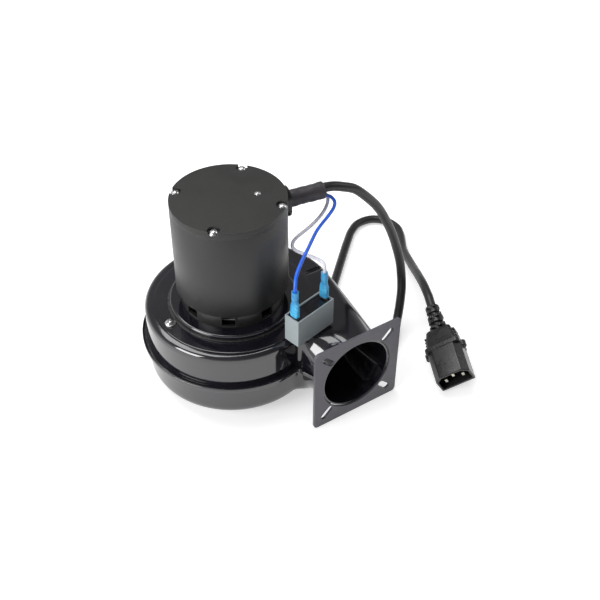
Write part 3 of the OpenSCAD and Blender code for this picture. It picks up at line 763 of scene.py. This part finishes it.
def make_terminal(name, node, material):
    """A push-on terminal's soft insulating boot, waisted where it was crimped."""
    low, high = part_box(node)
    centre = (low + high) / 2
    turn = math.radians(12.4)
    height = high.z - low.z
    stations = [(0.0, 1.95, 3.45, 4.2), (0.02, 2.08, 3.62, 4.0), (0.2, 2.1, 3.66, 3.6),
                (0.40, 2.1, 3.62, 3.2), (0.52, 2.05, 3.3, 2.8), (0.585, 1.85, 2.55, 2.4),
                (0.63, 2.1, 2.3, 2.1), (0.66, 2.5, 2.55, 2), (0.70, 2.66, 2.66, 2),
                (0.80, 2.5, 2.68, 2.1), (0.86, 2.35, 2.66, 2.2), (0.93, 2.6, 2.64, 2),
                (0.985, 2.62, 2.62, 2), (1.0, 2.42, 2.42, 2)]
    rings = []
    for share, a, b, power in stations:
        rings.append([Vector((x, y, share * height)) for x, y in superellipse(a * MM, b * MM, power)])
    bore = WIRE_D / 2 + 0.12 * MM
    for share in (1.0, 0.9):
        rings.append([Vector((x, y, share * height)) for x, y in superellipse(bore, bore, 2)])
    place = Matrix.Translation((centre.x, centre.y, low.z)) @ Matrix.Rotation(turn, 4, "Z")
    vertices, faces = turned(place, loft(rings))
    obj = mesh_piece(name, vertices, faces, material, replaces=[node], sharp=50)
    smooth = obj.modifiers.new("round", "SUBSURF")
    smooth.levels = smooth.render_levels = 1
    return obj


def make_sleeve(material):
    """Shrunk tubing over the gland: a soft, slightly uneven taper with a rolled end."""
    turn = math.radians(-8.6)
    low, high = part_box("cable_sleeve")
    start, end = 41.9 * MM, 73.9 * MM
    level = (low.z + high.z) / 2
    profile = []
    for i in range(33):
        x = start + (end - start) * i / 32
        r = 6.55 - 0.22 * math.sin(math.pi * i / 32) + 0.10 * math.sin(i * 0.9)
        profile.append((x, r * MM))
    profile += [(end + 0.05 * MM, 6.45 * MM), (end + 0.05 * MM, 5.75 * MM), (end - 0.3 * MM, 5.62 * MM),
                (end - 9 * MM, 5.62 * MM)]

    def wobble(i, a):
        return 0.10 * MM * math.sin(3 * a + 0.35 * i) if i < 33 else 0.0

    place = Matrix.Translation((0, 0, level)) @ Matrix.Rotation(turn, 4, "Z")
    vertices, faces = turned(place, lathe(profile, 48, wobble))
    return mesh_piece("shrunk_sleeve", vertices, faces, material,
                      replaces=["cable_sleeve"], sharp=60)


def make_relief(material):
    """The plug's flexible tail: half rings that step from side to side."""
    length = 25 * MM
    pitch = length / 5
    profile = []
    for i in range(151):
        x = length * i / 150
        core = 4.25 + 0.9 * x / length
        ring = (x % pitch) / pitch
        number = min(4, int(x / pitch))
        rise = 0.5 * (math.tanh((ring - 0.08) * 26) - math.tanh((ring - 0.62) * 26))
        profile.append((x, core * MM, rise * (5.75 + 0.36 * number - core) * MM, number))

    def wobble(i, a):
        _, _, rise, number = profile[min(i, 150)]
        gap = abs(math.cos(a + (math.pi / 2) * (number % 2)))
        return rise * (0.12 + 0.88 / (1 + math.exp(-(gap - 0.30) * 26)))

    shape = [(x, core) for x, core, _, _ in profile]
    vertices, faces = turned(PLUG_FRAME, lathe(shape, 72, wobble))
    return mesh_piece("plug_tail", vertices, faces, material,
                      replaces=["plug_relief"], sharp=55)


def plug_ring(x, wide, thick, cut, round_mm=0.9):
    """The plug's outline across its length, with two cut corners on its upper side."""
    w, t = wide / 2, thick / 2
    corners = [(-w, -t), (w, -t), (w, t - cut), (w - cut, t), (cut - w, t), (-w, t - cut)]
    return [Vector((x * MM, p.x * MM, p.y * MM)) for p in rounded_profile(corners, round_mm, 5)]


def make_plug(material):
    """The plug's body: a tapering ribbed grip, a collar with two lugs, and a hollow shroud."""
    wide, thick = 28, 20
    relief, body, shroud = 25, 20, 26
    collar = relief + body - 4
    end = collar + 4 + shroud
    grip = loft([plug_ring(relief, wide - 8.6, thick - 6.6, 1.8), plug_ring(relief + 0.8, wide - 7.4,
                 thick - 5.4, 1.8), plug_ring(relief + 8, wide - 4.8, thick - 3.4, 1.6),
                 plug_ring(collar + 1, wide - 2.2, thick - 1.2, 1.5)])
    ribs = []
    for side in (-1, 1):
        for i in range(4):
            x = relief + 5 + 3 * i
            half = (3 + i / 2) / 2
            tall = (thick - 9) / 2
            y = side * (wide / 2.5 + 0.1)
            ring = [(y - half, -tall), (y + half, -tall), (y + half, tall), (y - half, tall)]
            outline = rounded_profile(ring, 0.6, 3)
            ribs.append(loft([[Vector(((x + dx) * MM, p.x * MM * s + y * MM * (1 - s), p.y * MM * s))
                               for p in outline]
                              for dx, s in ((-0.75, 0.86), (-0.5, 1), (0.5, 1), (0.75, 0.86))]))
    band = loft([plug_ring(collar, wide + 0.2, thick + 0.2, 2), plug_ring(collar + 0.5, wide + 1, thick + 1, 2),
                 plug_ring(collar + 3.5, wide + 1, thick + 1, 2), plug_ring(collar + 4, wide + 0.2,
                 thick + 0.2, 2)])
    lugs = []
    for side in (-1, 1):
        outline = [(collar + 0.1, 2.7), (collar + 0.5, 3.15), (collar + 4.9, 3.15), (collar + 5.4, 2.7)]
        rings = [(x * MM, r * MM) for x, r in outline]
        lugs.append(turned(Matrix.Translation((0, side * wide / 2 * MM, 0)), lathe(rings, 32)))
    floor = relief + body + 6
    inner_wide, inner_thick = wide - 3.6, thick - 3.6
    front = loft([plug_ring(collar + 3, wide, thick, 5, 0.7), plug_ring(end - 0.5, wide, thick, 5, 0.7),
                  plug_ring(end, wide - 0.8, thick - 0.8, 4.8, 0.7),
                  plug_ring(end, inner_wide + 0.6, inner_thick + 0.6, 4.2, 0.7),
                  plug_ring(end - 0.5, inner_wide, inner_thick, 4, 0.7),
                  plug_ring(floor, inner_wide, inner_thick, 4, 0.7)])
    vertices, faces = turned(PLUG_FRAME, joined(grip, *ribs, band, *lugs, front))
    return mesh_piece("plug_moulding", vertices, faces, material,
                      replaces=["plug_body"], sharp=28)


def finish_nodes(finishes):
    """Gives each CAD node that still shows its finish, and rounds its edges a little."""
    widths = {"outlet_flange": 0.35, "motor_plate": 0.35, "motor_seat": 0.5, "motor_spacer": 0.3,
              "motor_can": 0.25, "seat_gasket": 0.25, "motor_cap": 0.45, "gland_plate": 0.4, "capacitor_case": 0.3,
              "capacitor_bracket": 0.2, "inlet_collar": 0.3, "plate_washer_1": 0.15,
              "plate_washer_2": 0.15, "plate_washer_3": 0.15, "capacitor_filling": 0.15}
    for name, obj in nodes.items():
        if obj.hide_render:
            continue
        slot = obj.material_slots[0].material.name.split(".")[0]
        obj.material_slots[0].material = finishes[slot]
        if name in widths:
            soften(obj, widths[name])


# ---------------------------------------------------------------- floor, light and world

def make_stage():
    half = 3.0
    mesh = bpy.data.meshes.new("floor")
    mesh.from_pydata([(-half, -half, 0), (half, -half, 0), (half, half, 0), (-half, half, 0)], [],
                     [(0, 1, 2, 3)])
    floor = bpy.data.objects.new("floor", mesh)
    floor.location.z = cad_low.z - 0.15 * MM
    scene.collection.objects.link(floor)
    material = bpy.data.materials.new("floor_white")
    material.use_nodes = True
    tree = material.node_tree
    shader = tree.nodes["Principled BSDF"]
    shader.inputs["Base Color"].default_value = (0.80, 0.80, 0.80, 1)
    shader.inputs["Roughness"].default_value = 0.9
    shader.inputs["Specular IOR Level"].default_value = 0.1
    seen = seen_rays(tree)
    glow = tree.nodes.new("ShaderNodeEmission")
    glow.inputs["Color"].default_value = (1, 1, 1, 1)
    strength = tree.nodes.new("ShaderNodeMath")
    strength.operation = "MULTIPLY"
    strength.inputs[1].default_value = 0.5
    tree.links.new(seen, strength.inputs[0])
    tree.links.new(strength.outputs[0], glow.inputs["Strength"])
    total = tree.nodes.new("ShaderNodeAddShader")
    tree.links.new(shader.outputs[0], total.inputs[0])
    tree.links.new(glow.outputs[0], total.inputs[1])
    tree.links.new(total.outputs[0], tree.nodes["Material Output"].inputs["Surface"])
    floor.data.materials.append(material)


def seen_rays(tree):
    """1 for rays that show the background: camera, glossy and transmission rays."""
    path = tree.nodes.new("ShaderNodeLightPath")
    value = path.outputs["Is Camera Ray"]
    for name in ("Is Glossy Ray", "Is Transmission Ray"):
        either = tree.nodes.new("ShaderNodeMath")
        either.operation = "MAXIMUM"
        tree.links.new(value, either.inputs[0])
        tree.links.new(path.outputs[name], either.inputs[1])
        value = either.outputs[0]
    return value


def make_world():
    world = bpy.data.worlds.new("studio")
    scene.world = world
    world.use_nodes = True
    tree = world.node_tree
    background = tree.nodes["Background"]
    path = tree.nodes.new("ShaderNodeLightPath")
    place = tree.nodes.new("ShaderNodeTexCoord")
    split = tree.nodes.new("ShaderNodeSeparateXYZ")
    tree.links.new(place.outputs["Generated"], split.inputs[0])
    rise = tree.nodes.new("ShaderNodeMapRange")
    rise.inputs["From Min"].default_value = 0.0
    rise.inputs["From Max"].default_value = 0.45
    rise.inputs["To Min"].default_value = 0.95
    rise.inputs["To Max"].default_value = 0.30
    tree.links.new(split.outputs["Z"], rise.inputs["Value"])
    side = tree.nodes.new("ShaderNodeVectorMath")
    side.operation = "DOT_PRODUCT"
    side.inputs[1].default_value = (-0.38, 0.25, 0)
    tree.links.new(place.outputs["Generated"], side.inputs[0])
    lean = tree.nodes.new("ShaderNodeMath")
    lean.inputs[1].default_value = 0.72
    tree.links.new(side.outputs["Value"], lean.inputs[0])
    room = tree.nodes.new("ShaderNodeMath")
    room.operation = "MULTIPLY"
    tree.links.new(rise.outputs[0], room.inputs[0])
    tree.links.new(lean.outputs[0], room.inputs[1])
    white = tree.nodes.new("ShaderNodeMath")
    white.operation = "MAXIMUM"
    tree.links.new(room.outputs[0], white.inputs[0])
    tree.links.new(path.outputs["Is Camera Ray"], white.inputs[1])
    tree.links.new(white.outputs[0], background.inputs["Strength"])
    background.inputs["Color"].default_value = (1, 1, 1, 1)


def area_light(name, place, target, size, power, tall=None):
    data = bpy.data.lights.new(name, "AREA")
    data.shape = "RECTANGLE"
    data.size = size
    data.size_y = tall or size
    data.energy = power
    light = bpy.data.objects.new(name, data)
    light.location = place
    light.rotation_euler = (Vector(target) - Vector(place)).to_track_quat("-Z", "Y").to_euler()
    scene.collection.objects.link(light)


def make_lights():
    target = (0.03, -0.01, 0.06)
    area_light("overhead", (-0.1, 0.5, 1.5), target, 1.2, 17)
    area_light("left", (-1.4, -0.1, 0.75), target, 0.8, 19)
    area_light("right", (1.2, -0.3, 0.9), target, 0.7, 3)


# ---------------------------------------------------------------- all together

make_camera()
finishes = make_finishes()

plug_moulding = make_plug(finishes["black_plastic"])
plug_tail = make_relief(finishes["black_plastic"])
lead, lead_line = cable("mains_lead", LEAD_WAY, LEAD_D, 8, finishes["black_pvc"], ["lead"])
cable("blue_wire", BLUE_WAY, WIRE_D, 8, finishes["blue_pvc"], ["wire_blue"])
cable("white_wire", WHITE_WAY, WIRE_D, 8, finishes["white_pvc"], ["wire_white"])

make_casing(finishes["black_gloss_paint"])
make_welds(finishes["weld_steel"])
make_terminal("boot_left", "terminal_left", finishes["blue_plastic"])
make_terminal("boot_right", "terminal_right", finishes["blue_plastic"])
make_sleeve(finishes["shrink_sleeve"])
finish_nodes(finishes)

make_stage()
make_world()
make_lights()
scene.view_settings.view_transform = "Standard"
